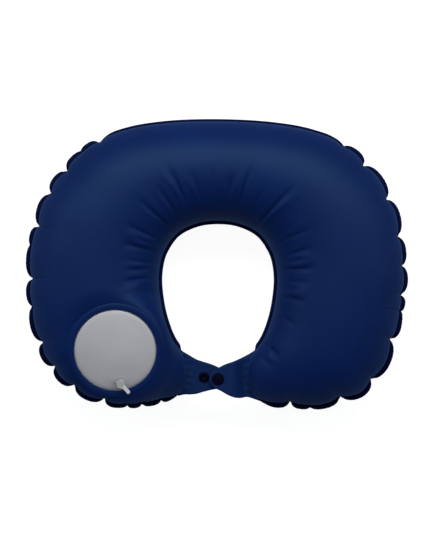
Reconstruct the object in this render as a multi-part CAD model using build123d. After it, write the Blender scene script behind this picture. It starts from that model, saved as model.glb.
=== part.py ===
"""Inflatable U-shaped camp pillow with a built-in press pump and a snap closure.

Frame: millimetres, +Z up. The pillow lies flat on the XY plane with its back towards +Y and its
closure towards -Y. The origin is under the middle of the outline, on the resting plane.
"""
import math
import os

from build123d import *

# ---------------------------------------------------------------- driving dimensions
SEAM_HEIGHT = 50.0          # height of the weld plane where top and bottom panels meet
SIDE_HALF_HEIGHT = 51.0     # half thickness of the air chamber at the sides
BACK_HALF_HEIGHT = 47.0     # half thickness behind the neck
TIP_HALF_HEIGHT = 7.0       # half thickness where a lobe ends at its tab
FILM = 0.6                  # coated fabric with its weld film
OUTER_FLANGE = 5.0          # width of the weld margin round the outside
INNER_FLANGE = 3.5          # width of the weld margin round the neck opening
MARGIN_ROOT = 0.45          # how far a margin reaches into the wall it belongs to
SECTION_POWER = 2.1         # 2 is an ellipse, more is boxier
# Where cross sections stand, from a tip (0) to the middle of the back (0.5).
STATIONS = [0, 0.0125, 0.025, 0.05, 0.0875, 0.125, 0.175, 0.225, 0.275, 0.325, 0.375, 0.4375, 0.5]

# Right half of the outside edge, weld margin included, from the back to the tip.
OUTER_EDGE = [(0, 145.45), (60, 141.4), (112, 128.5), (152, 100), (178, 60), (191, 5), (186, -49),
              (168, -99), (137, -133), (97, -145), (62, -143), (33, -135)]
# Right half of the neck opening's edge, weld margin included, from the back to the tip.
INNER_EDGE = [(0, 41), (25, 36.5), (44, 23), (54, 1.5), (56, -25), (51, -52), (40, -76), (33, -86)]

# Press pump, in its own frame: z 0 is the plane of its rim.
PUMP_CENTRE = (-102.0, -84.5)
PUMP_RIM_HEIGHT = 90.0
PUMP_TILT = 9.0             # degrees, nose down towards the closure
SEAT_DEPTH = 28.0           # how far the panel's raised seat reaches down
SEAT_RADIUS = 48.5
SEAT_SPREAD = 8.5           # how much wider the seat is at its foot
WELD_RING_RADIUS = 47.5
WELD_RING_BORE = 40.7
WELD_RING_THICKNESS = 0.8
CUP_RADIUS = 41.0
CUP_WALL = 0.6
CUP_DEPTH = 25.0
DISC_RADIUS = 40.0
DISC_CROWN = 7.2            # height of the disc's middle above the rim plane
DISC_EDGE = 1.6             # height of the disc's edge above the rim plane
DISC_FILM = 0.8
FOAM_RADIUS = 38.5
FOAM_NOTCH = 8.0            # room in the foam round the nozzle

# Air nozzle on the disc, in its own frame: z 0 is the disc's surface, +X points away from the
# disc's middle.
NOZZLE_BEARING = -80.0      # where it stands on the disc, degrees from the pillow's +X
NOZZLE_DISTANCE = 32.5
NOZZLE_FLANGE_RADIUS = 6.2
NOZZLE_FLANGE = 0.9
NECK_RADIUS = 3.6
NECK_HEIGHT = 4.5
NECK_STUB = 4.0             # the neck's length below the disc
NECK_BORE = 2.2
STOPPER_TOP_RADIUS = 2.1
STOPPER_END_RADIUS = 1.0
STOPPER_DEPTH = 3.2
STOPPER_CAP_RADIUS = 4.2
STOPPER_CAP = 1.0
PULL_BEARING = 41.0         # where the stopper's pull tab points, in the nozzle's frame
PULL_LENGTH = 10.0          # beyond the stopper's cap
PULL_RISE = 41.0            # degrees it stands up, so that it clears the weld ring
PULL_ROOT = 3.0
PULL_WIDTH = 3.6
STRAP_PIVOT = 6.3           # from the bore's axis to the bend in the strap
STRAP_WIDTH = 3.0
CLOSE_GAP = 0.1             # between a valve's moving piece and its seat
FLAP = 0.6

# Outlet valve under the cup's floor.
OUTLET_BEARING = 100.0
OUTLET_DISTANCE = 24.0
OUTLET_BORE = 3.5
OUTLET_SEAT_RADIUS = 8.5
OUTLET_SEAT = 1.0
OUTLET_FLAP_RADIUS = 5.0

# Closure tabs and their snaps.
TAB = 1.2
TAB_FOLD_X = 29.0           # fold line of each tab, either side of the middle
TAB_LIFT = 5.0              # how far the right tab's end rides above the left one
SNAP_PLACE = (0.0, -114.0)
SPARE_PLACE = (-14.0, -112.0)
SNAP_CAP_RADIUS = 6.2
SNAP_CAP = 1.2
SNAP_BODY_RADIUS = 5.1
SNAP_POST = 1.5
SOCKET_HEIGHT = 2.7
SOCKET_FLOOR = 0.6
SOCKET_BORE = 2.6
STUD_FLANGE = 0.8
STUD_KNOB = 2.2
STUD_LENGTH = 2.1
FOLD_GAP = 0.3


# ---------------------------------------------------------------- outlines
def mirrored(half):
    """Both halves of an outline, from the left tip over the back to the right tip."""
    return [(-x, y) for x, y in reversed(half[1:])] + list(half)


def edge_curve(half):
    """A smooth curve through an outline's points."""
    return Spline(*[(x, y, 0) for x, y in mirrored(half)])


OUTER_CURVE = edge_curve(OUTER_EDGE)
INNER_CURVE = edge_curve(INNER_EDGE)
ALONGS = STATIONS + [1 - a for a in reversed(STATIONS[:-1])]


def shifted(curve, along, inset, side):
    """A point off a curve, along its level normal: left of its run (side 1) or right (-1)."""
    run = curve % along
    normal = Vector(-run.Y, run.X, 0).normalized() * side
    return curve @ along + normal * inset


def outer_seam(along, inset=0.0):
    """A point on the outside weld line; a negative inset lies in the weld margin."""
    return shifted(OUTER_CURVE, along, OUTER_FLANGE + inset, -1)


def inner_seam(along, inset=0.0):
    """A point on the neck opening's weld line; a negative inset lies in the weld margin."""
    return shifted(INNER_CURVE, along, INNER_FLANGE + inset, 1)


def half_height(along):
    """Half thickness of the chamber: fuller at the sides, closing to a blunt tip."""
    from_back = abs(2 * along - 1)
    swell = min(from_back / 0.45, 1.0)
    body = BACK_HALF_HEIGHT + (SIDE_HALF_HEIGHT - BACK_HALF_HEIGHT) * (3 - 2 * swell) * swell**2
    fall_start = 0.55
    fall = max(from_back - fall_start, 0) / (1 - fall_start)
    return TIP_HALF_HEIGHT + (body - TIP_HALF_HEIGHT) * (1 - fall**2.4) ** 0.5


# ---------------------------------------------------------------- air chamber
def half_section(along, wall, way):
    """Half a cross section of the chamber, above (way 1) or below (way -1) the weld plane."""
    near = inner_seam(along)
    far = outer_seam(along)
    middle = (near + far) * 0.5
    across = (far - near).normalized()
    half_width = (far - near).length / 2 - wall
    height = half_height(along) - wall
    points = []
    for angle in (180, 168, 152, 132, 110, 90, 70, 48, 28, 12, 0):
        c = math.cos(math.radians(angle))
        s = math.sin(math.radians(angle))
        x = math.copysign(abs(c) ** (2 / SECTION_POWER), c) * half_width
        z = abs(s) ** (2 / SECTION_POWER) * height
        points.append(middle + across * x + Vector(0, 0, z * way))
    arch = Spline(*points, tangents=[(0, 0, way), (0, 0, -way)])
    return Wire([arch, Line(points[-1], points[0])])


def chamber_half(wall, way):
    """The chamber's solid above or below the weld plane, a wall's thickness inside its skin."""
    trim = wall / 400
    sections = [half_section(trim + (1 - 2 * trim) * a, wall, way) for a in ALONGS]
    return Pos(0, 0, SEAM_HEIGHT) * Solid.make_loft(sections)


def slab(low, high):
    """A slab wider than the pillow between two heights."""
    return Pos(0, 0, (low + high) / 2) * Box(500, 500, high - low)


def weld_margin(seam, width, low, high):
    """A flat strip along a weld line, reaching into the wall it belongs to."""
    inside = [seam(a, MARGIN_ROOT) for a in ALONGS]
    outside = [seam(a, -width) for a in ALONGS]
    outline = Wire([
        Spline(*inside),
        Line(inside[-1], outside[-1]),
        Spline(*reversed(outside)),
        Line(outside[0], inside[0]),
    ])
    return Pos(0, 0, low) * extrude(Face(outline), high - low, dir=(0, 0, 1))


def margins(low, high):
    """Both weld margins of one panel."""
    outside = weld_margin(outer_seam, OUTER_FLANGE, low, high)
    return outside + weld_margin(inner_seam, INNER_FLANGE, low, high)


PUMP = Location((*PUMP_CENTRE, PUMP_RIM_HEIGHT), (PUMP_TILT, 0, 0))


def disk(radius, low, high, x=0.0, y=0.0):
    """A cylinder between two heights of whichever frame it is placed in."""
    return Pos(x, y, (low + high) / 2) * Cylinder(radius, high - low)


def seat(radius, top):
    """The raised seat under the pump: a short cone down into the panel."""
    foot = radius + SEAT_SPREAD
    return PUMP * Pos(0, 0, top - SEAT_DEPTH / 2) * Cone(foot, radius, SEAT_DEPTH)


def top_panel():
    """The top panel: a thin skin, open under the pump, with its weld margins."""
    outside = chamber_half(0, 1) - PUMP * disk(SEAT_RADIUS, 0, 60) + seat(SEAT_RADIUS, 0)
    inner_radius = SEAT_RADIUS - FILM
    recess = PUMP * disk(SEAT_RADIUS + FILM, -FILM, 60)
    inside = chamber_half(FILM, 1) - recess + seat(inner_radius, -FILM)
    skin = outside - inside - PUMP * disk(CUP_RADIUS, -5, 5)
    return skin + margins(SEAM_HEIGHT, SEAM_HEIGHT + FILM)


def bottom_panel():
    """The bottom panel: a thin skin, flat where it rests, with its weld margins."""
    outside = chamber_half(0, -1) & slab(0, SEAM_HEIGHT)
    inside = chamber_half(FILM, -1) & slab(FILM, SEAM_HEIGHT)
    return outside - inside + margins(SEAM_HEIGHT - FILM, SEAM_HEIGHT)


# ---------------------------------------------------------------- press pump
DISC_SPHERE = (DISC_RADIUS**2 + (DISC_CROWN - DISC_EDGE) ** 2) / (2 * (DISC_CROWN - DISC_EDGE))
NOZZLE_LEAN = math.degrees(math.asin(NOZZLE_DISTANCE / DISC_SPHERE))
NOZZLE = (
    PUMP
    * Pos(0, 0, DISC_CROWN - DISC_SPHERE)
    * Rot(0, 0, NOZZLE_BEARING)
    * Rot(0, NOZZLE_LEAN, 0)
    * Pos(0, 0, DISC_SPHERE)
)
OUTLET = PUMP * Rot(0, 0, OUTLET_BEARING) * Pos(OUTLET_DISTANCE, 0, -CUP_DEPTH)


def dome(drop):
    """Everything under the disc's surface, or under a surface some way below it."""
    return PUMP * Pos(0, 0, DISC_CROWN - DISC_SPHERE) * Sphere(DISC_SPHERE - drop)


def weld_ring():
    """The flat ring that welds the cup to the top panel."""
    ring = disk(WELD_RING_RADIUS, 0, WELD_RING_THICKNESS)
    return PUMP * (ring - disk(WELD_RING_BORE, -1, 2))


def pump_cup():
    """The pump's side wall and floor, with the outlet's hole."""
    cup = disk(CUP_RADIUS, -CUP_DEPTH, 0)
    cup -= disk(CUP_RADIUS - CUP_WALL, CUP_WALL - CUP_DEPTH, 1)
    return PUMP * cup - OUTLET * disk(OUTLET_BORE, -2, 2)


def pressing_disc():
    """The domed film that the hand presses, with the nozzle's hole."""
    film = PUMP * disk(DISC_RADIUS, 0, 20) & dome(0)
    return film - dome(DISC_FILM) - NOZZLE * disk(NECK_RADIUS + 0.05, -5, 5)


def foam_core():
    """The foam that lifts the disc again, open round both valves."""
    core = PUMP * disk(FOAM_RADIUS, CUP_WALL - CUP_DEPTH, 20) & dome(DISC_FILM + CLOSE_GAP)
    core -= NOZZLE * disk(FOAM_NOTCH, -40, 5)
    return core - OUTLET * disk(OUTLET_BORE + 1, -2, 40)


def flap_lug(reach, seat_z, width):
    """The ear beside a flap that its hinge line runs along."""
    return Pos(reach + 0.8, 0, seat_z - 0.4) * Box(1.0, width, 1.6)


def nozzle_body():
    """The clear nozzle: flange on the disc, neck through it, strap post and flap lug."""
    body = disk(NOZZLE_FLANGE_RADIUS, -0.4, NOZZLE_FLANGE)
    strap_foot = Pos(5.0, 0, 0.25) * Box(4.4, STRAP_WIDTH, 1.3)
    strap_post = Pos(7.0, 0, 2.4) * Box(0.8, STRAP_WIDTH, 5.6)
    body += Rot(0, 0, PULL_BEARING + 180) * (strap_foot + strap_post)
    body = NOZZLE * body - dome(-0.04)
    body += NOZZLE * disk(NECK_RADIUS, -NECK_STUB, NECK_HEIGHT)
    body += NOZZLE * Pos(4.0, 0, -3.4) * Box(1.6, 3, 1.2)
    body += NOZZLE * flap_lug(3.5, -NECK_STUB, 3)
    return body - NOZZLE * disk(NECK_BORE, -10, 10)


def intake_flap():
    """The non-return flap under the neck's bore."""
    high = -NECK_STUB - CLOSE_GAP
    flap = disk(3.2, high - FLAP, high) + Pos(2.2, 0, high - FLAP / 2) * Box(2.6, 2.4, FLAP)
    return NOZZLE * flap


def stopper():
    """The plug, its cap, the moving end of its strap and its pull tab."""
    low = NECK_HEIGHT + CLOSE_GAP
    middle = low + STOPPER_CAP / 2
    cap = disk(STOPPER_CAP_RADIUS, low, low + STOPPER_CAP)
    plug_length = STOPPER_DEPTH + CLOSE_GAP
    plug = Pos(0, 0, low - plug_length / 2)
    plug *= Cone(STOPPER_END_RADIUS, STOPPER_TOP_RADIUS, plug_length)
    strap_length = STRAP_PIVOT - FOLD_GAP - PULL_ROOT
    strap = Pos(-PULL_ROOT - strap_length / 2, 0, middle) * Box(strap_length, STRAP_WIDTH, 0.8)
    pull = Pos(PULL_LENGTH / 2, 0, 0) * Box(PULL_LENGTH, PULL_WIDTH, 0.9)
    pull = fillet(pull.edges().filter_by(Axis.Z).group_by(Axis.X)[-1], 1.4)
    pull = Pos(PULL_ROOT, 0, middle) * Rot(0, -PULL_RISE, 0) * pull
    return NOZZLE * Rot(0, 0, PULL_BEARING) * (cap + plug + strap + pull)


def outlet_seat():
    """The ring under the cup's floor that the outlet flap closes against."""
    ring = disk(OUTLET_SEAT_RADIUS, -OUTLET_SEAT, 0) + flap_lug(5.3, -OUTLET_SEAT - 0.2, 4)
    return OUTLET * (ring - disk(OUTLET_BORE, -5, 5))


def outlet_flap():
    """The non-return flap that lets pumped air into the chamber."""
    high = -OUTLET_SEAT - CLOSE_GAP
    flap = disk(OUTLET_FLAP_RADIUS, high - FLAP, high)
    flap += Pos(4.0, 0, high - FLAP / 2) * Box(2.8, 3.2, FLAP)
    return OUTLET * flap


# ---------------------------------------------------------------- closure
def plate(points, low, high):
    """A flat plate from a corner list."""
    outline = Wire.make_polygon([(x, y, 0) for x, y in points])
    return Pos(0, 0, low) * extrude(Face(outline), high - low, dir=(0, 0, 1))


def tab_root(side):
    """The part of a tab that is welded into a lobe's tip."""
    end = 1.0 if side > 0 else 0.0
    near = inner_seam(end)
    far = outer_seam(end)
    inner_corner = INNER_CURVE @ end
    outer_corner = OUTER_CURVE @ end
    fold = side * (TAB_FOLD_X + FOLD_GAP)
    points = [(near.X, near.Y), (inner_corner.X, inner_corner.Y), (fold, -90.0), (fold, -132.0),
              (outer_corner.X, outer_corner.Y), (far.X, far.Y)]
    return plate(points, SEAM_HEIGHT - TAB / 2, SEAM_HEIGHT + TAB / 2)


def tab_outline(upper, lower):
    """A tab's outline seen from above: upper edge, round end, lower edge, fold line."""
    edge = Spline(*[(x, y, 0) for x, y in upper + lower])
    return Wire([edge, Line(edge @ 1, edge @ 0)])


LEFT_TAB = [(-29, -90.5), (-15, -96.5), (0, -102.5), (7.5, -106.5), (10.5, -113.5)]
LEFT_TAB_BACK = [(7.5, -120.5), (0, -124), (-12, -126.5), (-29, -130)]
RIGHT_TAB = [(29, -90), (14, -97), (1, -102.5), (-6, -107), (-9, -113.5)]
RIGHT_TAB_BACK = [(-6, -120.5), (1, -125.5), (13, -131), (29, -132)]


def left_tab():
    """The closure's under tab, flat, holding both sockets."""
    shape = extrude(Face(tab_outline(LEFT_TAB, LEFT_TAB_BACK)), TAB, dir=(0, 0, 1))
    shape = Pos(0, 0, SEAM_HEIGHT - TAB / 2) * shape
    for place in (SNAP_PLACE, SPARE_PLACE):
        shape -= disk(SNAP_POST, 0, 100, *place)
    return shape


def right_tab():
    """The closure's upper tab, rising from its root to lie over the snap."""
    low = SEAM_HEIGHT - TAB / 2
    over = SEAM_HEIGHT - TAB / 2 + TAB_LIFT
    line = [(29, low), (27, low), (14, over), (-12, over), (-12, over + TAB), (14, over + TAB),
            (27, low + TAB), (29, low + TAB)]
    profile = Face(Wire.make_polygon([(x, -150, z) for x, z in line]))
    strip = extrude(profile, 80, dir=(0, 1, 0))
    shape = strip & extrude(Face(tab_outline(RIGHT_TAB, RIGHT_TAB_BACK)), 100, dir=(0, 0, 1))
    return shape - disk(SNAP_POST, 0, 100, *SNAP_PLACE)


def socket(place):
    """A snap's socket, standing on the left tab."""
    low = SEAM_HEIGHT + TAB / 2
    body = disk(SNAP_BODY_RADIUS, low, low + SOCKET_HEIGHT, *place)
    body = chamfer(body.edges().group_by(Axis.Z)[-1], 0.5)
    return body - disk(SOCKET_BORE, low + SOCKET_FLOOR, 100, *place)


def snap_cap(place, face, way):
    """A snap's round cap with its post, on the upper (way 1) or under side (way -1)."""
    cap = disk(SNAP_CAP_RADIUS, 0, SNAP_CAP) + disk(SNAP_POST, -TAB, 0)
    cap = chamfer(cap.edges().group_by(Axis.Z)[-1], 0.6)
    if way < 0:
        cap = Rot(180, 0, 0) * cap
    return Pos(*place, face) * cap


def stud():
    """The knob under the right tab that clicks into a socket."""
    face = SEAM_HEIGHT - TAB / 2 + TAB_LIFT
    flange = disk(SNAP_BODY_RADIUS, face - STUD_FLANGE, face, *SNAP_PLACE)
    knob = disk(STUD_KNOB, face - STUD_FLANGE - STUD_LENGTH, face, *SNAP_PLACE)
    return flange + chamfer(knob.edges().group_by(Axis.Z)[0], 0.4)


def stitching(side):
    """A dashed line of stitches across a tab's root."""
    x = side * (TAB_FOLD_X + 2.2)
    top = SEAM_HEIGHT + TAB / 2
    stitches = [Pos(x, y, top + 0.2) * Box(0.7, 2.2, 0.4) for y in range(-128, -92, 4)]
    return Compound(children=[Part(s.wrapped) for s in stitches])


def all_parts():
    """Every piece of the pillow, by node name."""
    under = SEAM_HEIGHT - TAB / 2
    return {
        "top_panel": top_panel(),
        "bottom_panel": bottom_panel(),
        "pump_weld_ring": weld_ring(),
        "pump_cup": pump_cup(),
        "pump_disc": pressing_disc(),
        "pump_foam": foam_core(),
        "nozzle_body": nozzle_body(),
        "intake_flap": intake_flap(),
        "stopper": stopper(),
        "outlet_seat": outlet_seat(),
        "outlet_flap": outlet_flap(),
        "left_tab_root": tab_root(-1),
        "right_tab_root": tab_root(1),
        "left_stitching": stitching(-1),
        "right_stitching": stitching(1),
        "left_tab": left_tab(),
        "right_tab": right_tab(),
        "closing_socket": socket(SNAP_PLACE),
        "closing_socket_cap": snap_cap(SNAP_PLACE, under, -1),
        "spare_socket": socket(SPARE_PLACE),
        "spare_socket_cap": snap_cap(SPARE_PLACE, under, -1),
        "snap_stud": stud(),
        "snap_stud_cap": snap_cap(SNAP_PLACE, under + TAB_LIFT + TAB, 1),
    }


if __name__ == "__main__":
    os.makedirs("parts", exist_ok=True)
    for name, shape in all_parts().items():
        export_step(shape, f"parts/{name}.step")
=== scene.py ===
import math

import bmesh
import bpy
import numpy as np
from mathutils import Euler, Matrix, Vector


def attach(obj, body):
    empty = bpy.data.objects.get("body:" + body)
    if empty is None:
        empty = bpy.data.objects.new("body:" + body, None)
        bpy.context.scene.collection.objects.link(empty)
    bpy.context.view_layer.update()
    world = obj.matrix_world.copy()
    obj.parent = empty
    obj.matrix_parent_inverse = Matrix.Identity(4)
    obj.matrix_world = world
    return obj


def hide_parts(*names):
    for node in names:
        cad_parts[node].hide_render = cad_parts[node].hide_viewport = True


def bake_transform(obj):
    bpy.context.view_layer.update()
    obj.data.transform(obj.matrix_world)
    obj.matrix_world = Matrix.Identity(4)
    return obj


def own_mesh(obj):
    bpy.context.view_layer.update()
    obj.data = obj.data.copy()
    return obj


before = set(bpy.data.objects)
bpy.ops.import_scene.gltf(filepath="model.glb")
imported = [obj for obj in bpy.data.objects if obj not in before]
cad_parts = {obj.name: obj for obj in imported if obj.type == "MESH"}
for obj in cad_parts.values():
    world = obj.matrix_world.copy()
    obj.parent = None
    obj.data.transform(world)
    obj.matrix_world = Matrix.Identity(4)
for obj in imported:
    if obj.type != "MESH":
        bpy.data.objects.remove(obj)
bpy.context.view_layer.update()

MM = 0.001


# ------------------------------------------------------------------ curves
def dense_curve(points, count=2400):
    """A smooth curve through points, resampled evenly along its length."""
    p = np.array(points, float)
    chord = np.linalg.norm(np.diff(p, axis=0), axis=1) ** 0.5
    knots = np.concatenate([[0], np.cumsum(chord)])
    ext = np.vstack([2 * p[0] - p[1], p, 2 * p[-1] - p[-2]])
    k = np.concatenate([[-chord[0]], knots, [knots[-1] + chord[-1]]])
    u = np.linspace(0, knots[-1], count)
    seg = np.clip(np.searchsorted(knots, u, side="right") - 1, 0, len(p) - 2)
    t0, t1, t2, t3 = k[seg], k[seg + 1], k[seg + 2], k[seg + 3]
    p0, p1, p2, p3 = ext[seg], ext[seg + 1], ext[seg + 2], ext[seg + 3]

    def mix(a, b, ta, tb):
        w = ((u - ta) / (tb - ta))[:, None]
        return a * (1 - w) + b * w

    a1, a2, a3 = mix(p0, p1, t0, t1), mix(p1, p2, t1, t2), mix(p2, p3, t2, t3)
    b1, b2 = mix(a1, a2, t0, t2), mix(a2, a3, t1, t3)
    c = mix(b1, b2, t1, t2)
    return even(c, count)


def run_length(c):
    """Distance along a path at each of its points."""
    return np.concatenate([[0], np.cumsum(np.linalg.norm(np.diff(c, axis=0), axis=1))])


def even(c, count):
    """The same path in evenly spaced points."""
    run = run_length(c)
    u = np.linspace(0, run[-1], count)
    return np.stack([np.interp(u, run, c[:, i]) for i in range(c.shape[1])], axis=1)


def left_normal(c):
    """The unit normal to the left of a level path's run."""
    d = np.gradient(c, axis=0)
    n = np.stack([-d[:, 1], d[:, 0]], axis=1)
    return n / np.linalg.norm(n, axis=1)[:, None]


def smooth(x, low, high):
    """0 below low, 1 above high, eased between."""
    t = np.clip((x - low) / (high - low), 0, 1)
    return t * t * (3 - 2 * t)


def share_of_back(c):
    """How far level points belong to the straight back of the pillow, where the weld has no scallops."""
    return smooth(c[:, 1], 104, 124) * (1 - smooth(np.abs(c[:, 0]), 112, 128))


# ------------------------------------------------------------------ driving shapes and sizes, in mm
# Outside edge, from the left tip over the back to the right tip: the line over the tops of the scallops.
EDGE = [(-35, -134), (-57, -139), (-75, -142), (-94, -143), (-120, -139), (-147, -126), (-166, -109),
        (-178, -90), (-187, -64), (-192, -27), (-191, 10), (-185, 36), (-176, 66), (-160, 93), (-132, 121),
        (-94, 137), (-54, 144), (0, 146), (55, 143), (94, 136), (131, 121), (161, 93), (180, 58), (189, 8),
        (190, -16), (186, -46), (180, -75), (168, -106), (147, -130), (122, -139), (97, -145), (75, -143),
        (52, -142), (36, -138)]
# Neck opening, from the left tip round the back of the neck to the right tip.
NECK = [(-34, -85), (-43, -72), (-50, -54), (-54, -36), (-56, -14), (-54, 3), (-50, 14), (-39, 29),
        (-20, 38.5), (0, 41), (20, 38.5), (39, 29), (50, 14), (54, 3), (56, -14), (54, -36), (50, -54),
        (43, -72), (34, -85)]
# Where the outer weld puckers in, and how deep.
NOTCHES = [(-40, -134, 4), (-56, -138, 4), (-77, -142, 4), (-91, -143, 3), (-116, -138, 9),
           (-146, -122, 10), (-164, -101, 9), (-176, -77, 9), (-188, -42, 5), (-187, -13, 8),
           (-188, 20, 2.5), (-180, 39, 8), (-167, 72, 9), (-151, 95, 9), (-138, 114, 2), (-121, 124, 6),
           (128, 122, 4.5), (148, 101, 9), (170, 67, 9), (182, 29, 8), (187, -1, 6), (186, -31, 8),
           (186, -46, 2), (175, -76, 9), (153, -114, 10), (123, -135, 9), (91, -143, 3), (73, -139, 8)]
NOTCH_GIVEN = 1.6             # part of that depth which the skin's own swelling already makes
NOTCH_LEAST = 1.2             # what every notch draws in at least
NOTCH_FULL = 9.0              # depth that counts as a full notch
NOTCH_REACH = 44.0            # lobes wider than this have a straight middle
TIP_REACH = 24.0              # reach of the first and the last notch towards the tip
LOBE_POWER = 2.2              # 2 makes the lobes between notches round
# Folds in the top panel's inner slope: where each starts near the neck opening and where it dies out.
FOLDS = [((-49, 38), (-84, 71)), ((-33, 63), (-51, 101)), ((-4, 70), (-6, 106)), ((22, 61), (37, 106)),
         ((41, 43), (78, 82)), ((60, 22), (100, 39)), ((70, 10), (96, 17)), ((68, -4), (98, -3)),
         ((66, -16), (95, -18)), ((-62, 26), (-93, 42)), ((-64, 13), (-97, 21)), ((-66, 3), (-98, 4)),
         ((-66, -4), (-96, -5)), ((-68, -13), (-95, -18)), ((-67, -24), (-97, -31)), ((-18, 66), (-26, 96)),
         ((10, 66), (14, 92)), ((32, 52), (52, 84)), ((-42, 50), (-62, 82)), ((62, -30), (88, -36)),
         ((60, -50), (80, -62)), ((-62, -40), (-84, -48)), ((48, -78), (62, -92)), ((42, -92), (56, -104))]
FOLD_DEPTH = 1.7
FOLD_WIDTH = 1.7              # half width of a fold where it starts
FOLD_SPREAD = 2.0             # how much wider it gets
FOLD_WANDER = 0.6             # how far its line strays to the side
FOLD_RIDGE = 0.5              # height of the ridge beside the valley, as a share of the depth
SEAM_Z = 50.0
GROUND_GAP = 0.25             # the lowest fabric's height over the ground
OUTER_MARGIN = 5.0            # from the outside edge in to the weld
BACK_MARGIN = 3.8             # the same along the straight back
LEFT_OUT = 1.8                # how much further out the weld runs on the left side
INNER_MARGIN = 3.2            # from the neck's edge to its weld
TIP_BULGE = (4.5, 8.0)        # how far the rounded left and right ends reach past the welds
TIP_ROWS = 22                 # rows over which an end's bulge fades
HALF_HEIGHT = 47.0            # of the chamber at the back of the neck
ARMS_HIGHER = 4.0             # how much the arms add to it
TIP_HALF_HEIGHT = 1.2
CHAMBER_POWER = 2.1           # 2 makes the chamber's section an ellipse
PUMP_AT = (-102.0, -84.5, 90.0)
PUMP_TILT = math.radians(9.0)
PUMP_HOLE = 43.5              # radius cut out of the top panel under the pump
PUMP_HOLD = 46.5              # radius inside which the weld ring holds the panel flat
FAR = 999.0                   # pump radius given to points of the bottom panel
# Cloth grid and solver.
ROWS = 520                    # along the U
RING = 112                    # round the chamber
HALF_RING = RING // 2         # index of the outer weld in a ring, the neck weld being 0
STEPS = 420
SWELL = 0.07                  # extra cloth length along the U near the outer weld
NECK_SLACK = 0.018            # the same near the neck weld
AIR_PUSH = 0.0016             # move per step along the skin's area normal
SPEED_KEPT = 0.86             # share of each step's move carried into the next
BEND_HOLD = 0.05
LENGTH_HOLD = 0.9
SHEAR_HOLD = 0.35
LEVEL_HOLD = 0.2              # how firmly the welds keep their height
PLAN_HOLD = 0.3               # how firmly the welds keep their line seen from above

pump_matrix = Matrix.Translation(Vector(PUMP_AT)) @ Euler((PUMP_TILT, 0, 0)).to_matrix().to_4x4()
pump_np = np.array(pump_matrix)
pump_inv = np.linalg.inv(pump_np)

edge = dense_curve(EDGE)
neck = dense_curve(NECK)
at_left = smooth(-edge[:, 0], 140, 165) * smooth(edge[:, 1], -10, 30) * (1 - smooth(edge[:, 1], 60, 100))
set_in = OUTER_MARGIN - (OUTER_MARGIN - BACK_MARGIN) * share_of_back(edge) - LEFT_OUT * at_left
outer_seam = even(edge - left_normal(edge) * set_in[:, None], ROWS + 1)
inner_seam = even(neck + left_normal(neck) * INNER_MARGIN, ROWS + 1)
along = np.linspace(0, 1, ROWS + 1)
from_back = np.abs(2 * along - 1)     # 0 at the back of the neck, 1 at the tips


def half_heights():
    """Half thickness of the chamber at each row, closing to a flat weld at each tip."""
    body = HALF_HEIGHT + ARMS_HIGHER * smooth(from_back, 0, 0.45)
    fall = np.clip((from_back - 0.55) / 0.45, 0, 1)
    return TIP_HALF_HEIGHT + (body - TIP_HALF_HEIGHT) * np.sqrt(1 - fall**2.4)


def base_shape():
    """The chamber's skin before it wrinkles: rows along the U, each a ring over the top from the neck."""
    angle = np.linspace(0, 2 * math.pi, RING, endpoint=False)
    c, s = -np.cos(angle), np.sin(angle)
    power = 2 / CHAMBER_POWER
    px = np.sign(c) * np.abs(c) ** power
    pz = np.sign(s) * np.abs(s) ** power
    middle = (inner_seam + outer_seam) / 2
    across = (outer_seam - inner_seam) / 2
    h = half_heights()
    x = np.zeros((ROWS + 1, RING, 3))
    x[:, :, :2] = middle[:, None, :] + across[:, None, :] * px[None, :, None]
    x[:, :, 2] = SEAM_Z + h[:, None] * pz[None, :]
    for end, before, bulge in ((0, 10, TIP_BULGE[0]), (ROWS, ROWS - 10, TIP_BULGE[1])):
        run = middle[end] - middle[before]
        run /= np.linalg.norm(run)
        rows_off = np.abs(np.arange(ROWS + 1) - end)
        size = bulge * (1 - smooth(rows_off, 0, TIP_ROWS))
        x[:, :, :2] += run * (size[:, None] * (1 - np.abs(px[None, :]) ** 2.4))[..., None]
    return x


def near_rows(points):
    """The row whose outer weld point is nearest to each given point."""
    return [int(np.argmin(np.hypot(outer_seam[:, 0] - p[0], outer_seam[:, 1] - p[1]))) for p in points]


def notch_profile(count, soften):
    """How strongly each of a number of rows along the outer weld is drawn in, in mm and as a share.

    Round lobes meet in sharp notches, softened by a distance in mm: one number, or one for each column.
    """
    size = np.linalg.norm(np.diff(outer_seam, axis=0), axis=1).sum()
    at = np.arange(count) * size / (count - 1)
    marks = sorted((r * size / ROWS, d) for r, (_, _, d) in zip(near_rows(NOTCHES), NOTCHES))
    soften = np.broadcast_to(soften, (count, np.shape(soften)[-1] if np.ndim(soften) else 1))
    depth = np.zeros(soften.shape)
    share = np.zeros(soften.shape)
    for k, (place_mm, d) in enumerate(marks):
        before = place_mm - marks[k - 1][0] if k else TIP_REACH
        after = marks[k + 1][0] - place_mm if k + 1 < len(marks) else TIP_REACH
        reach = np.where(at < place_mm, min(before, NOTCH_REACH) / 2, min(after, NOTCH_REACH) / 2)[:, None]
        u = np.clip(np.hypot((at - place_mm)[:, None], soften) / reach, 0, 1)
        g = 1 - (1 - (1 - u) ** LOBE_POWER) ** (1 / LOBE_POWER)
        depth = np.maximum(depth, max(d - NOTCH_GIVEN, NOTCH_LEAST) * g)
        share = np.maximum(share, g * min(1.0, 0.4 + d / NOTCH_FULL))
    return depth, share


def pump_local(x):
    """Points in the pump's own frame."""
    return x @ pump_inv[:3, :3].T + pump_inv[:3, 3]


def pump_world(x):
    """Points back from the pump's own frame."""
    return x @ pump_np[:3, :3].T + pump_np[:3, 3]


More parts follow.
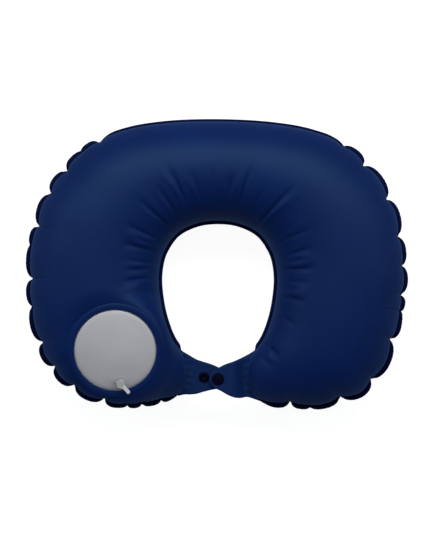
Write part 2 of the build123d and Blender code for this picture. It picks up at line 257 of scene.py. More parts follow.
def seat_for_pump(x):
    """Draw the top panel flat under the weld ring, in place, and give its points' distance from the axis."""
    top = x[:, 1:HALF_RING]
    local = pump_local(top)
    r = np.hypot(local[..., 0], local[..., 1])
    keep = smooth(r, PUMP_HOLD, 66)
    local[..., 2] = np.where(local[..., 2] > -60, local[..., 2] * keep, local[..., 2])
    x[:, 1:HALF_RING] = pump_world(local)
    return r


def pull(a, b, length, hold):
    """The move that brings each pair of points half way to its length."""
    d = b - a
    now = np.sqrt(np.einsum("ijk,ijk->ij", d, d)) + 1e-9
    return d * (0.5 * hold * (now - length) / now)[..., None]


def diagonal_length(a, b, along_u, stretch):
    """Length of the diagonals from a to b once the cloth is stretched along the U."""
    d = b - a
    u = along_u / np.maximum(np.linalg.norm(along_u, axis=2, keepdims=True), 1e-9)
    part = np.sum(d * u, axis=2, keepdims=True)
    return np.linalg.norm(d + u * part * (stretch - 1), axis=2)


def relax(base, start, fixed, excess, anchor_weight):
    """Cloth under air pressure on the ring grid.

    Lengths hold, the skin may shear a little, and the welds stay level and on their line.
    """
    x = start.copy()
    last = x.copy()
    run = base[1:] - base[:-1]
    plain_u = np.linalg.norm(run, axis=2)
    length_u = plain_u * (1 + (excess[1:] + excess[:-1]) / 2)
    nxt = np.roll(base, -1, axis=1)
    length_ring = np.linalg.norm(nxt - base, axis=2)
    stretch = (length_u / np.maximum(plain_u, 1e-9))[..., None]
    length_a = diagonal_length(base[:-1], nxt[1:], run, stretch)
    length_b = diagonal_length(nxt[:-1], base[1:], run, stretch)
    even_j, odd_j = np.arange(0, RING, 2), np.arange(1, RING, 2)
    free = (~fixed)[..., None].astype(float)

    for step in range(STEPS):
        velocity = (x - last) * SPEED_KEPT
        last = x.copy()
        ds = np.zeros_like(x)
        ds[1:-1] = x[2:] - x[:-2]
        dt = np.roll(x, -1, axis=1) - np.roll(x, 1, axis=1)
        normal = np.cross(ds, dt)
        push = AIR_PUSH * min(1.0, (step + 20) / 80)
        x = x + free * (velocity + normal * push)
        bend = (np.roll(x, -1, axis=1) + np.roll(x, 1, axis=1)) / 2 - x
        bend[1:-1] += (x[2:] + x[:-2]) / 2 - x[1:-1]
        x += free * bend * BEND_HOLD
        x += free * (base - x) * anchor_weight
        for _ in range(2):
            for p in (0, 1):
                a, b = x[p:-1:2], x[p + 1::2]
                n = min(len(a), len(b))
                c = pull(a[:n], b[:n], length_u[p::2][:n], LENGTH_HOLD)
                x[p:-1:2][:n] += c
                x[p + 1::2][:n] -= c
            for ja in (even_j, odd_j):
                jb = (ja + 1) % RING
                c = pull(x[:, ja], x[:, jb], length_ring[:, ja], LENGTH_HOLD)
                x[:, ja] += c
                x[:, jb] -= c
            for p in (0, 1):
                ra, rb = slice(p, -1, 2), slice(p + 1, None, 2)
                n = min(len(x[ra]), len(x[rb]))
                up = np.roll(x[rb][:n], -1, axis=1)
                c = pull(x[ra][:n], up, length_a[p::2][:n], SHEAR_HOLD)
                x[ra][:n] += c
                x[rb][:n] -= np.roll(c, 1, axis=1)
                side = np.roll(x[ra][:n], -1, axis=1)
                c = pull(side, x[rb][:n], length_b[p::2][:n], SHEAR_HOLD)
                x[ra][:n] += np.roll(c, 1, axis=1)
                x[rb][:n] -= c
            x = np.where(fixed[..., None], start, x)
        for j in (0, HALF_RING):
            x[:, j, 2] += (SEAM_Z - x[:, j, 2]) * LEVEL_HOLD
            x[:, j, :2] += (start[:, j, :2] - x[:, j, :2]) * PLAN_HOLD
        x[..., 2] = np.maximum(x[..., 2], GROUND_GAP)
    return x


base = base_shape()
base[..., 2] = np.maximum(base[..., 2], GROUND_GAP)
pump_r = np.full((ROWS + 1, RING), FAR)
pump_r[:, 1:HALF_RING] = seat_for_pump(base)
depth = notch_profile(ROWS + 1, 2.5)[0][:, 0]
ring_index = np.arange(RING)
place = np.minimum(ring_index, RING - ring_index) / (RING / 2)     # 0 at the neck weld, 1 at the outer weld
outward = left_normal(outer_seam)
start = base.copy()
climb = smooth(place, 0.60, 1.0)
start[..., :2] -= (0.5 * depth[:, None] * climb[None, :])[..., None] * outward[:, None, :]
at_back = share_of_back(outer_seam)
swell = SWELL * (1 - 0.85 * at_back)
excess = swell[:, None] * smooth(place, 0.55, 1.0)[None, :]
excess += NECK_SLACK * (smooth(place, 0.02, 0.12) * (1 - smooth(place, 0.30, 0.5)))[None, :]
excess *= (1 - smooth(from_back, 0.93, 1.0))[:, None]
fixed = np.zeros((ROWS + 1, RING), bool)
fixed[:2] = True
fixed[-2:] = True
fixed |= pump_r < PUMP_HOLD
anchor_weight = 0.03 - 0.024 * smooth(place, 0.5, 0.9) - 0.012 * (1 - smooth(place, 0.1, 0.45))
skin = relax(base, start, fixed, excess, anchor_weight[None, :, None])


def refine(x):
    """Twice the rows, on a smooth curve through the old ones."""
    out = np.zeros((2 * len(x) - 1,) + x.shape[1:])
    out[::2] = x
    mid = (x[:-1] + x[1:]) / 2
    mid[1:-1] = (9 * (x[1:-2] + x[2:-1]) - x[:-3] - x[3:]) / 16
    out[1::2] = mid
    return out


def skin_normals(x):
    """Outward unit normals of the ring grid."""
    n = np.cross(np.gradient(x, axis=0), np.roll(x, -1, axis=1) - np.roll(x, 1, axis=1))
    return n / (np.linalg.norm(n, axis=2, keepdims=True) + 1e-9)


def draw_in_notches(x):
    """The gathers of the weld: sharp at the weld, wider and shallower up the side."""
    soften = 0.3 + 15 * (1 - place)
    drawn = notch_profile(len(x), soften)[0]
    share = 0.55 * smooth(place, 0.55, 1.0) ** 1.5
    level = skin_normals(x)
    level[:, HALF_RING, 2] = 0
    return x - level * (drawn * share[None, :])[..., None]


def bare_margin(x):
    """The skin stands back from the weld line, so that the margin shows all round."""
    out_dir = left_normal(x[:, HALF_RING, :2])[:, None, :]
    beyond = np.sum((x[..., :2] - x[:, HALF_RING:HALF_RING + 1, :2]) * out_dir, axis=2)
    share = smooth(place, 0.5, 0.62) * (1 - smooth(place, 0.985, 1.0))
    stand_back = 0.7 * smooth(-x[:, HALF_RING, 1:2], 20, 100) - 1.5 * refine(at_back[:, None])
    over = np.maximum(beyond + stand_back, 0) * 0.85 * share[None, :]
    x = x.copy()
    x[..., :2] -= out_dir * over[..., None]
    return x


def top_radius(x):
    """Distance of the top panel's points from the pump's axis; large for the bottom panel."""
    r = np.full(x.shape[:2], FAR)
    local = pump_local(x[:, 1:HALF_RING])
    r[:, 1:HALF_RING] = np.hypot(local[..., 0], local[..., 1])
    return r


def press_folds(x):
    """Radial folds in the top panel: a soft valley with a low ridge along one side."""
    up = skin_normals(x)
    on_top = (ring_index > 2) & (ring_index < 0.33 * RING)
    clear_of_pump = smooth(top_radius(x), 50, 56)
    for k, ((x0, y0), (x1, y1)) in enumerate(FOLDS):
        d = np.array([x1 - x0, y1 - y0], float)
        size = np.hypot(*d)
        d /= size
        rel = x[..., :2] - np.array([x0, y0])
        t = rel @ d
        side = rel @ np.array([-d[1], d[0]]) * (1 if k % 2 else -1)
        side += FOLD_WANDER * np.sin(t / size * 2.2 + k)
        fade = smooth(t, -6, 10) * (1 - smooth(t, size * 0.45, size * 1.05))
        width = FOLD_WIDTH + FOLD_SPREAD * smooth(t, size * 0.2, size)
        valley = np.exp(-((side / width) ** 2))
        ridge = np.exp(-(((side - 2.3 * width) / (1.3 * width)) ** 2))
        amount = FOLD_DEPTH * (0.65 + 0.35 * math.sin(2.1 * k)) * fade
        amount = amount * (valley - FOLD_RIDGE * ridge) * clear_of_pump
        x = x - up * (amount * on_top[None, :])[..., None]
    return x


skin = refine(skin)
pump_r = top_radius(skin)
skin = draw_in_notches(bare_margin(skin))
skin = press_folds(skin)
last_row = len(skin) - 1
nearness = notch_profile(len(skin), 0.4)[1][:, 0]


# ------------------------------------------------------------------ mesh helpers
def add_to_scene(name, data):
    """A new object in the scene, with its mesh, light or camera data."""
    obj = bpy.data.objects.new(name, data)
    bpy.context.scene.collection.objects.link(obj)
    return obj


def smooth_shading(mesh):
    """Shade every face of a mesh smooth."""
    mesh.polygons.foreach_set("use_smooth", [True] * len(mesh.polygons))


def new_object(name, verts, faces, uvs=None):
    """A smooth-shaded mesh object from millimetre coordinates."""
    mesh = bpy.data.meshes.new(name)
    points = [tuple(v) for v in np.asarray(verts, float) * MM]
    mesh.from_pydata(points, [], [tuple(int(i) for i in f) for f in faces])
    if uvs is not None:
        layer = mesh.uv_layers.new(name="UVMap")
        loops = np.zeros(len(mesh.loops), dtype=np.int32)
        mesh.loops.foreach_get("vertex_index", loops)
        layer.data.foreach_set("uv", np.asarray(uvs, float)[loops].astype(np.float32).ravel())
    smooth_shading(mesh)
    mesh.update()
    return add_to_scene(name, mesh)


def fix_normals(obj):
    """Faces turned outwards."""
    bm = bmesh.new()
    bm.from_mesh(obj.data)
    bmesh.ops.recalc_face_normals(bm, faces=bm.faces)
    bm.to_mesh(obj.data)
    bm.free()
    return obj


def grid_faces(rows, cols, wrap=False):
    """Quads over a grid of vertices, the columns closed into rings if asked."""
    out = []
    for i in range(rows - 1):
        for j in range(cols if wrap else cols - 1):
            k = (j + 1) % cols
            out.append((i * cols + j, (i + 1) * cols + j, (i + 1) * cols + k, i * cols + k))
    return out


def chamber():
    """The wrinkled skin of both panels, closed at the tips, less the hole under the pump."""
    verts = skin.reshape(-1, 3)
    over_hole = pump_r < PUMP_HOLE
    faces = []
    for f in grid_faces(last_row + 1, RING, wrap=True):
        if not all(over_hole[v // RING, v % RING] for v in f):
            faces.append(f)
    for row in (0, last_row):
        for j in range(HALF_RING):
            across = (j, j + 1, (RING - j - 1) % RING, (RING - j) % RING)
            corners = tuple(dict.fromkeys(row * RING + q for q in across))
            if len(corners) >= 3:
                faces.append(corners)
    uv = np.zeros((last_row + 1, RING, 2))
    uv[..., 0] = run_length(refine((inner_seam + outer_seam) / 2))[:, None]
    uv[..., 1] = run_length(skin[last_row // 2])[None, :]
    return fix_normals(new_object("pillow_skin", verts, faces, uv.reshape(-1, 2) * MM))


MARGIN_THICK = 1.1
STRIP_COLS = 6
MARGIN_WIDTH = 4.7
MARGIN_DROOP = 16.0           # degrees that the outer margin turns down, and what a notch and the back add
NOTCH_DROOP = 66.0
BACK_DROOP = 34.0
MOST_DROOP = 84.0
INNER_WIDTH = 3.4
INNER_DROOP = math.radians(22)


def strip(name, root, out_dir, width, droop):
    """A weld margin: a doubled strip that leaves the weld and turns down."""
    n = len(root)
    around = 2 * STRIP_COLS
    points = []
    for k in range(STRIP_COLS):
        t = k / (STRIP_COLS - 1)
        lean = droop * (0.55 + 0.45 * t)
        reach = width * t
        p = root.copy()
        p[:, :2] += out_dir * (reach * np.cos(lean))[:, None]
        p[:, 2] -= reach * np.sin(lean)
        points.append(p)
    mid = np.stack(points, axis=1)
    nrm = np.cross(np.gradient(mid, axis=0), np.gradient(mid, axis=1))
    nrm /= np.linalg.norm(nrm, axis=2, keepdims=True) + 1e-9
    taper = np.array([0.2] + [1.0] * (STRIP_COLS - 1))[None, :, None]
    top = mid + nrm * MARGIN_THICK / 2 * taper
    low = mid - nrm * MARGIN_THICK / 2 * taper
    verts = np.concatenate([top, low[:, ::-1]], axis=1).reshape(-1, 3)
    faces = grid_faces(n, around, wrap=True)
    faces.append(tuple(range(around)))
    faces.append(tuple(range((n - 1) * around, n * around)))
    uv = np.zeros((n, around, 2))
    uv[..., 0] = run_length(root)[:, None]
    uv[..., 1] = np.abs(np.arange(around) - STRIP_COLS + 0.5)[None, :] * width[:, None] / STRIP_COLS
    return fix_normals(new_object(name, verts, faces, uv.reshape(-1, 2) * MM))


def blur(values, sigma):
    """A gentle running mean of each column along the rows."""
    k = np.exp(-0.5 * (np.arange(-3 * sigma, 3 * sigma + 1) / sigma) ** 2)
    k /= k.sum()
    pad = 3 * sigma
    v = np.pad(values, [(pad, pad), (0, 0)], mode="edge")
    return np.stack([np.convolve(v[:, i], k, mode="valid") for i in range(values.shape[1])], axis=1)


pillow = chamber()
outer_root = skin[:, HALF_RING].copy()
outer_dir = left_normal(blur(outer_root[:, :2], 9))
inner_root = skin[:, 0].copy()
inner_dir = -left_normal(blur(inner_root[:, :2], 10))
end_taper = 1 - 0.85 * smooth(np.abs(np.linspace(-1, 1, last_row + 1)), 0.955, 1.0)
back_share = refine(at_back[:, None])[:, 0]
droop = MARGIN_DROOP + NOTCH_DROOP * nearness**0.8 + BACK_DROOP * back_share
droop = np.radians(np.minimum(droop, MOST_DROOP))
width_out = (MARGIN_WIDTH + 0.4 * smooth(-outer_root[:, 1], 0, 90) - 1.8 * nearness) * end_taper
outer_flange = strip("outer_weld_margin", outer_root, outer_dir, width_out, droop)
inner_droop = INNER_DROOP * np.ones(last_row + 1)
inner_flange = strip("inner_weld_margin", inner_root, inner_dir, INNER_WIDTH * end_taper, inner_droop)


# ------------------------------------------------------------------ turned pieces
def lathe(name, profile, matrix, segments=96, close=False):
    """A piece turned about its frame's z axis. The profile is (radius, z) in mm."""
    verts = []
    count = len(profile)
    for i in range(segments):
        angle = 2 * math.pi * i / segments
        for r, z in profile:
            verts.append((r * math.cos(angle), r * math.sin(angle), z))
    faces = []
    for i in range(segments):
        after = (i + 1) % segments
        for k in range(count if close else count - 1):
            m = (k + 1) % count
            faces.append((i * count + k, after * count + k, after * count + m, i * count + m))
    place_in = np.array(matrix)
    obj = new_object(name, np.array(verts) @ place_in[:3, :3].T + place_in[:3, 3], faces)
    bm = bmesh.new()
    bm.from_mesh(obj.data)
    bmesh.ops.remove_doubles(bm, verts=bm.verts, dist=1e-6)
    bmesh.ops.dissolve_degenerate(bm, edges=bm.edges, dist=1e-7)
    bmesh.ops.recalc_face_normals(bm, faces=bm.faces)
    bm.to_mesh(obj.data)
    bm.free()
    smooth_shading(obj.data)
    return obj


DISC_R = 40.1
CROWN = 7.2                   # height of the disc's middle over the weld ring
RIM = 0.5
DOME_CHORD = 40.0             # the dome is the cap of a sphere: its half chord and its rise
DOME_RISE = 5.6
DOME_R = (DOME_CHORD**2 + DOME_RISE**2) / (2 * DOME_RISE)
ROLL_FROM = 36.5              # radius where the dome rolls over to the rim, and how wide that roll is
ROLL_WIDTH = 3.9
FILM_THICK = 0.8


def disc_height(r):
    """Height of the pressing disc's surface above its rim plane."""
    dome = CROWN - (DOME_R - math.sqrt(max(DOME_R**2 - r * r, 0)))
    if r <= ROLL_FROM:
        return dome
    roll = 1 - ((r - ROLL_FROM) / ROLL_WIDTH) ** 2
    return RIM + (dome - RIM) * math.sqrt(max(roll, 0))


def disc_underside(r):
    """Height of the disc's lower side; the film thins at the rim, to clear the stopper when pressed."""
    return max(disc_height(r) - FILM_THICK + 0.5 * float(smooth(r, 37, 39.3)), 0.3)


radii = [0.0] + list(np.linspace(1.5, 36, 24)) + [36.8, 37.6, 38.3, 38.9, 39.4, 39.8, 39.95, 40.05, DISC_R]
disc_top = [(r, disc_height(r)) for r in radii]
disc_low = [(max(r - 0.25, 0.0), disc_underside(r)) for r in reversed(radii)]
disc = lathe("pressing_disc", disc_top + disc_low, pump_matrix, segments=128, close=True)
weld_ring_profile = [(40.8, 0.15), (40.8, 0.8), (41.2, 0.95), (44.0, 0.95), (47.0, 0.85), (47.6, 0.35),
                     (47.6, -0.3), (44, -0.3)]
weld_ring = lathe("weld_ring", weld_ring_profile, pump_matrix, segments=128, close=True)


SNAP_SEGMENTS = 64
SPARE_AT = (-14, -112)
CLOSING_AT = (0, -114)
LEFT_TAB_TOP = 50.6
LEFT_TAB_UNDER = 49.4
RIGHT_TAB_TOP = 55.6
RIGHT_TAB_UNDER = 54.4


def snap_frame(place, z, up=True):
    """A frame for a snap piece, facing up or down."""
    m = Matrix.Translation(Vector((*place, z)))
    return m if up else m @ Euler((math.pi, 0, 0)).to_matrix().to_4x4()


def cap(name, matrix):
    """A snap's cap: flat middle, soft rim."""
    profile = [(0, 1.15), (3.9, 1.12), (4.3, 1.0), (4.6, 1.02), (5.3, 1.08), (5.8, 0.95), (6.1, 0.6),
               (6.2, 0.1), (6.1, 0.0), (0, 0.0)]
    return lathe(name, profile, matrix, segments=SNAP_SEGMENTS)


def socket(name, matrix):
    """A snap's socket: a ring with a lip, its floor, and a bead round the mouth."""
    profile = [(0, 0.6), (2.6, 0.6), (2.65, 1.2), (2.6, 2.1), (2.75, 2.55), (3.1, 2.7), (3.5, 2.6),
               (3.8, 2.15), (4.3, 1.95), (4.9, 1.7), (5.1, 1.2), (5.1, 0.1), (5.0, 0.0), (0, 0.0)]
    return lathe(name, profile, matrix, segments=SNAP_SEGMENTS)


def stud(name, matrix):
    """The knob under the right tab."""
    profile = [(0, 2.9), (1.5, 2.9), (2.0, 2.7), (2.2, 2.3), (2.15, 1.6), (1.95, 1.2), (2.1, 0.85),
               (4.7, 0.8), (5.05, 0.6), (5.1, 0.05), (0, 0.0)]
    return lathe(name, profile, matrix, segments=SNAP_SEGMENTS)


spare_socket = socket("spare_socket_visual", snap_frame(SPARE_AT, LEFT_TAB_TOP))
closing_socket = socket("closing_socket_visual", snap_frame(CLOSING_AT, LEFT_TAB_TOP))
spare_cap = cap("spare_socket_cap_visual", snap_frame(SPARE_AT, LEFT_TAB_UNDER, up=False))
closing_cap = cap("closing_socket_cap_visual", snap_frame(CLOSING_AT, LEFT_TAB_UNDER, up=False))
stud_piece = stud("snap_stud_visual", snap_frame(CLOSING_AT, RIGHT_TAB_UNDER, up=False))
stud_cap = cap("snap_stud_cap_visual", snap_frame(CLOSING_AT, RIGHT_TAB_TOP))


# ------------------------------------------------------------------ tabs
TAB_THICK = 1.2
# Edges of the tabs, each from under its lobe out to the tip.
LEFT_UPPER = [(-40, -83), (-34, -87), (-28, -90.5), (-22, -94), (-15, -96.5), (-7, -99), (1, -102.5),
              (7, -106.5), (10, -110.5), (10.6, -113)]
LEFT_LOWER = [(-40, -131), (-34, -129.5), (-28, -129.5), (-22, -129), (-15, -127), (-7, -125), (0, -123.6),
              (6.5, -120.5), (9.8, -116.5), (10.6, -114)]
RIGHT_UPPER = [(40, -83), (34, -87), (28, -90.5), (22, -93.5), (15, -96.5), (7, -99.2), (1, -102.4),
               (-5, -106.5), (-8.2, -110.5), (-8.8, -113)]
RIGHT_LOWER = [(42, -136), (36, -134), (29, -132), (23, -133), (17, -132.6), (10, -130), (3, -126),
               (-4, -122.5), (-7.8, -117.5), (-8.8, -114.4)]


def tab(name, upper, lower, height, cols=26, rows=64):
    """A flat tab between an upper and a lower edge, its height a function of x and y."""
    up, lo = dense_curve(upper, rows), dense_curve(lower, rows)
    t = np.linspace(0, 1, cols)
    flat = up[:, None, :] * (1 - t)[None, :, None] + lo[:, None, :] * t[None, :, None]
    z = height(flat[..., 0], flat[..., 1])
    mid = np.concatenate([flat, z[..., None]], axis=2)
    nrm = np.cross(np.gradient(mid, axis=0), np.gradient(mid, axis=1))
    nrm /= np.linalg.norm(nrm, axis=2, keepdims=True) + 1e-9
    if nrm[..., 2].mean() < 0:
        nrm = -nrm
    edge_fade = np.ones((rows, cols))
    edge_fade[:, 0] = edge_fade[:, -1] = 0.55
    top = mid + nrm * TAB_THICK / 2 * edge_fade[..., None]
    low = mid - nrm * TAB_THICK / 2 * edge_fade[..., None]
    verts = np.concatenate([top.reshape(-1, 3), low.reshape(-1, 3)])
    n = rows * cols
    quads = grid_faces(rows, cols)
    faces = quads + [tuple(n + i for i in f[::-1]) for f in quads]
    rim = [i * cols for i in range(rows)] + [(rows - 1) * cols + j for j in range(1, cols)]
    rim += [i * cols + cols - 1 for i in range(rows - 2, -1, -1)] + list(range(cols - 2, 0, -1))
    for a, b in zip(rim, rim[1:] + rim[:1]):
        faces.append((a, b, n + b, n + a))
    uv = np.concatenate([flat.reshape(-1, 2), flat.reshape(-1, 2)]) * MM
    return fix_normals(new_object(name, verts, faces, uv))


def left_height(x, y):
    """The left tab lies flat, with faint puckers near its root."""
    root = smooth(-x, 22, 36)
    return SEAM_Z + 0.35 * np.sin(y * 0.9) * root * (1 - smooth(-x, 36, 40))


def right_height(x, y):
    """The right tab rises from its root to lie over the snap."""
    lift = 5.0 * (1 - smooth(x, 13, 27.5))
    return SEAM_Z + lift + 0.3 * np.sin(y * 0.8 + 1) * smooth(x, 20, 34)


left_tab = tab("left_tab_visual", LEFT_UPPER, LEFT_LOWER, left_height)
right_tab = tab("right_tab_visual", RIGHT_UPPER, RIGHT_LOWER, right_height)

STITCH_X = 31.2
STITCH_STEP = 3.6
STITCH_RADII = (0.55, 1.15, 0.35)
STITCH_TOP = -91.0            # y at which a row of stitches ends
STITCH_LIFT = 0.62            # from the tab's middle to a stitch's middle


def stitches(name, x, lowest, height):
    """A row of short raised stitches across a tab, each a small rounded bar."""
    bm = bmesh.new()
    shape = Matrix.Diagonal((*(r * MM for r in STITCH_RADII), 1))
    for y in np.arange(lowest, STITCH_TOP, STITCH_STEP):
        z = float(height(np.array(x, float), np.array(y, float))) + STITCH_LIFT
        place_at = Matrix.Translation(Vector((x, y, z)) * MM)
        bmesh.ops.create_icosphere(bm, subdivisions=2, radius=1.0, matrix=place_at @ shape)
    mesh = bpy.data.meshes.new(name)
    bm.to_mesh(mesh)
    bm.free()
    smooth_shading(mesh)
    return add_to_scene(name, mesh)


left_stitching = stitches("left_stitching_visual", -STITCH_X, -126.5, left_height)
right_stitching = stitches("right_stitching_visual", STITCH_X, -129.5, right_height)


# ------------------------------------------------------------------ materials
def material(name, base, rough, spec=0.5, sheen=0.0, transmission=0.0):
    """A principled material with its uniform values on the shader's own sockets."""
    m = bpy.data.materials.new(name)
    m.use_nodes = True
    shader = m.node_tree.nodes["Principled BSDF"]
    shader.inputs["Base Color"].default_value = (*base, 1)
    shader.inputs["Roughness"].default_value = rough
    shader.inputs["Specular IOR Level"].default_value = spec
    shader.inputs["Sheen Weight"].default_value = sheen
    shader.inputs["Sheen Roughness"].default_value = 0.45
    shader.inputs["Transmission Weight"].default_value = transmission
    return m, m.node_tree, shader


def noise(tree, coord, scale, detail):
    """The value of a noise in object space."""
    node = tree.nodes.new("ShaderNodeTexNoise")
    node.inputs["Scale"].default_value = scale
    node.inputs["Detail"].default_value = detail
    tree.links.new(coord.outputs["Object"], node.inputs["Vector"])
    return node.outputs["Fac"]


def weave_bands(tree, coord, axis, thread_m):
    """Bands across one direction of the UV map, one for each thread."""
    node = tree.nodes.new("ShaderNodeTexWave")
    node.wave_type = "BANDS"
    node.bands_direction = axis
    node.inputs["Scale"].default_value = 0.314 / thread_m / 2
    node.inputs["Distortion"].default_value = 0.6
    node.inputs["Detail"].default_value = 1.0
    tree.links.new(coord.outputs["UV"], node.inputs["Vector"])
    return node.outputs["Fac"]


def colour_from(tree, value, low, high, dark, light, shader):
    """Base colour running from dark at one value to light at another."""
    ramp = tree.nodes.new("ShaderNodeValToRGB")
    ramp.color_ramp.elements[0].position = low
    ramp.color_ramp.elements[0].color = (*dark, 1)
    ramp.color_ramp.elements[1].position = high
    ramp.color_ramp.elements[1].color = (*light, 1)
    tree.links.new(value, ramp.inputs["Fac"])
    tree.links.new(ramp.outputs["Color"], shader.inputs["Base Color"])


def bump(tree, value, strength, distance, under=None):
    """A bump from a value, over another bump's normal if one is given."""
    node = tree.nodes.new("ShaderNodeBump")
    node.inputs["Strength"].default_value = strength
    node.inputs["Distance"].default_value = distance
    tree.links.new(value, node.inputs["Height"])
    if under is not None:
        tree.links.new(under, node.inputs["Normal"])
    return node.outputs["Normal"]


def fabric(name, dark, light, thread_m=0.0006, sheen=0.3, rough=0.72, spec=0.2):
    """Coated woven cloth: a fine plain weave in bump, slow colour drift, soft crumple."""
    m, tree, shader = material(name, light, rough, spec=spec, sheen=sheen)
    shader.inputs["Sheen Tint"].default_value = (0.12, 0.42, 1.0, 1)
    shader.inputs["Specular Tint"].default_value = (0.45, 0.85, 1.0, 1)
    shader.inputs["IOR"].default_value = 1.28
    coord = tree.nodes.new("ShaderNodeTexCoord")
    weave = tree.nodes.new("ShaderNodeMath")
    weave.operation = "MAXIMUM"
    tree.links.new(weave_bands(tree, coord, "X", thread_m), weave.inputs[0])
    tree.links.new(weave_bands(tree, coord, "Y", thread_m), weave.inputs[1])
    shade = tree.nodes.new("ShaderNodeMath")
    shade.operation = "MULTIPLY_ADD"
    tree.links.new(noise(tree, coord, 900.0, 2.0), shade.inputs[0])
    shade.inputs[1].default_value = 0.35
    tree.links.new(noise(tree, coord, 14.0, 4.0), shade.inputs[2])
    colour_from(tree, shade.outputs[0], 0.42, 0.95, dark, light, shader)
    crumple = bump(tree, noise(tree, coord, 55.0, 3.0), 0.12, 0.002)
    threads = bump(tree, weave.outputs[0], 0.25, 0.00012, under=crumple)
    tree.links.new(threads, shader.inputs["Normal"])
    return m


def moulded(name, dark, light, rough, spec=0.5, scale=220.0, relief=0.06, transmission=0.0):
    """Moulded plastic, film or foam: faint mottling and a fine skin texture."""
    m, tree, shader = material(name, light, rough, spec=spec, transmission=transmission)
    coord = tree.nodes.new("ShaderNodeTexCoord")
    colour_from(tree, noise(tree, coord, scale / 8, 5.0), 0.3, 0.7, dark, light, shader)
    tree.links.new(bump(tree, noise(tree, coord, scale * 6, 2.0), relief, 0.0002), shader.inputs["Normal"])
    return m


navy = fabric("navy_coated_fabric", (0.0003, 0.0060, 0.052), (0.0007, 0.0084, 0.067),
              sheen=0.09, spec=0.5, rough=0.54)
# The weld margins are the same navy cloth. Their colour is darkened near black as painted shade, for the
# shadow they lie in below the swelling skin.
navy_margin_painted_shade = fabric("navy_weld_margin_painted_shade", (0.0001, 0.0003, 0.019), (0.0003, 0.0006, 0.028),
                     sheen=0.0, spec=0.2, rough=0.6)
navy_tab = fabric("navy_tab_fabric", (0.0004, 0.0062, 0.050), (0.0009, 0.0090, 0.064),
                  thread_m=0.0008, sheen=0.09, spec=0.5, rough=0.54)
thread = fabric("navy_thread", (0.004, 0.012, 0.05), (0.008, 0.022, 0.075), thread_m=0.0003, sheen=0.2)
grey_film = moulded("grey_pump_film", (0.326, 0.322, 0.330), (0.36, 0.356, 0.364), 0.5,
                    spec=0.3, scale=160, relief=0.12)
clear_film = moulded("thin_valve_film", (0.45, 0.46, 0.48), (0.55, 0.56, 0.58), 0.35)
clear = moulded("clear_nozzle_plastic", (0.42, 0.43, 0.43), (0.50, 0.51, 0.51), 0.2,
                transmission=0.35, relief=0.03)
milky = moulded("milky_stopper_plastic", (0.44, 0.44, 0.42), (0.53, 0.53, 0.51), 0.3,
                transmission=0.2, relief=0.03)
foam_mat = moulded("open_cell_foam", (0.50, 0.48, 0.43), (0.72, 0.70, 0.64), 0.95,
                   spec=0.1, scale=600, relief=0.9)
black = moulded("black_snap_plastic", (0.0005, 0.0006, 0.0060), (0.0010, 0.0012, 0.0095), 0.5,
                spec=0.03, scale=300, relief=0.08)


def dress(obj, mat, slot_name, body, *nodes):
    """Material, body and the CAD nodes a piece stands for; the slot name is not used."""
    obj.data.materials.clear()
    obj.data.materials.append(mat)
    if body:
        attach(obj, body)
    if nodes:
        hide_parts(*nodes)


dress(pillow, navy, "navy_fabric", "pillow", "top_panel", "bottom_panel")
dress(outer_flange, navy_margin_painted_shade, "navy_fabric", "pillow")
dress(inner_flange, navy_margin_painted_shade, "navy_fabric", "pillow")
dress(weld_ring, navy, "navy_fabric", "pillow", "pump_weld_ring")
dress(disc, grey_film, "grey_film", None, "pump_disc")
dress(left_tab, navy_tab, "navy_tab", None, "left_tab", "left_tab_root")
dress(right_tab, navy_tab, "navy_tab", None, "right_tab", "right_tab_root")
dress(left_stitching, thread, "navy_thread", "pillow", "left_stitching")
dress(right_stitching, thread, "navy_thread", "pillow", "right_stitching")
dress(spare_socket, black, "black_plastic", "left_tab_body", "spare_socket")
dress(closing_socket, black, "black_plastic", "left_tab_body", "closing_socket")
dress(spare_cap, black, "black_plastic", "left_tab_body", "spare_socket_cap")
dress(closing_cap, black, "black_plastic", "left_tab_body", "closing_socket_cap")
dress(stud_piece, black, "black_plastic", "right_tab_body", "snap_stud")
dress(stud_cap, black, "black_plastic", "right_tab_body", "snap_stud_cap")
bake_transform(left_tab)
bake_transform(right_tab)


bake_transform(disc)
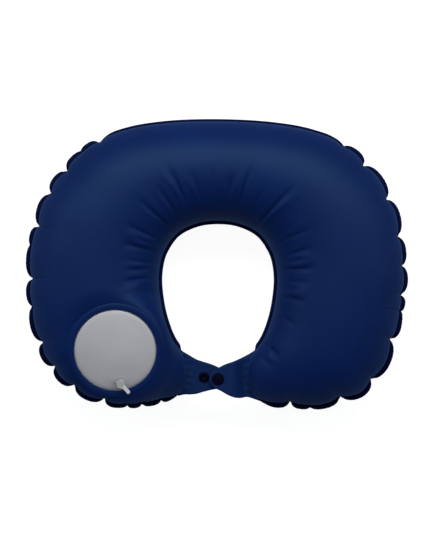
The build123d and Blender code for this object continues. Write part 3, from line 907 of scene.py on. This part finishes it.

# Parts shown as the CAD made them, with their material.
carried = {"nozzle_body": (clear, "clear_plastic"), "stopper": (milky, "clear_plastic"),
           "intake_flap": (clear_film, "clear_film"), "outlet_seat": (clear_film, "clear_film"),
           "outlet_flap": (clear_film, "clear_film"), "pump_cup": (clear_film, "clear_film"),
           "pump_foam": (foam_mat, "foam")}
for node, (mat, slot_name) in carried.items():
    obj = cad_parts[node]
    obj.data.materials.clear()
    obj.data.materials.append(mat)
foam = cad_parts["pump_foam"]
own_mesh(foam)


# ------------------------------------------------------------------ stage, camera, light
FLOOR_HALF = 6.0              # metres
corners = [(x, y, 0.0) for x, y in ((-1, -1), (1, -1), (1, 1), (-1, 1))]
floor_mesh = bpy.data.meshes.new("floor")
floor_mesh.from_pydata([tuple(FLOOR_HALF * c for c in corner) for corner in corners], [], [(0, 1, 2, 3)])
floor = add_to_scene("floor", floor_mesh)
floor_mat, _, floor_shader = material("pale_floor", (0.18, 0.18, 0.18), 0.9, spec=0.0)
floor_shader.inputs["Emission Color"].default_value = (1, 1, 1, 1)
floor_shader.inputs["Emission Strength"].default_value = 0.94
floor.data.materials.append(floor_mat)
floor.visible_glossy = False  # a glowing floor would leave grey rims in the cloth near the seams

world = bpy.data.worlds.new("studio")
bpy.context.scene.world = world
world.use_nodes = True
world.node_tree.nodes["Background"].inputs["Color"].default_value = (0.5, 0.7, 1, 1)
world.node_tree.nodes["Background"].inputs["Strength"].default_value = 0.15


def area(name, place, target, size, power):
    """A soft rectangular light at a place, turned to a target; metres and watts."""
    data = bpy.data.lights.new(name, "AREA")
    data.shape = "RECTANGLE"
    data.size, data.size_y = size
    data.energy = power
    light = add_to_scene(name, data)
    light.location = place
    light.rotation_euler = (Vector(target) - Vector(place)).to_track_quat("-Z", "Y").to_euler()


area("key", (0.0, 1.05, 1.45), (0, 0, 0.06), (2.0, 0.8), 34)
area("side_left", (-1.5, 0.5, 1.1), (0, 0, 0.06), (0.8, 0.8), 7.5)
area("side_right", (1.5, 0.5, 1.1), (0, 0, 0.06), (0.8, 0.8), 7.5)
area("fill", (0.0, -0.3, 2.2), (0, 0, 0.05), (1.8, 1.8), 3)

bpy.context.scene.view_settings.view_transform = "Standard"

# The camera looks straight down from CAMERA_HEIGHT; both lengths are in metres, the sensor in mm.
CAMERA_HEIGHT = 5.0
PICTURE_TALL = 0.538          # what the picture's height spans at the weld line
SENSOR = 36.0
camera_data = bpy.data.cameras.new("camera")
camera = add_to_scene("camera", camera_data)
camera_data.sensor_width = SENSOR
camera_data.lens = SENSOR * (CAMERA_HEIGHT - SEAM_Z * MM) / PICTURE_TALL
camera_data.clip_end = 20
camera.location = (-0.003, -0.004, CAMERA_HEIGHT)
bpy.context.scene.camera = camera
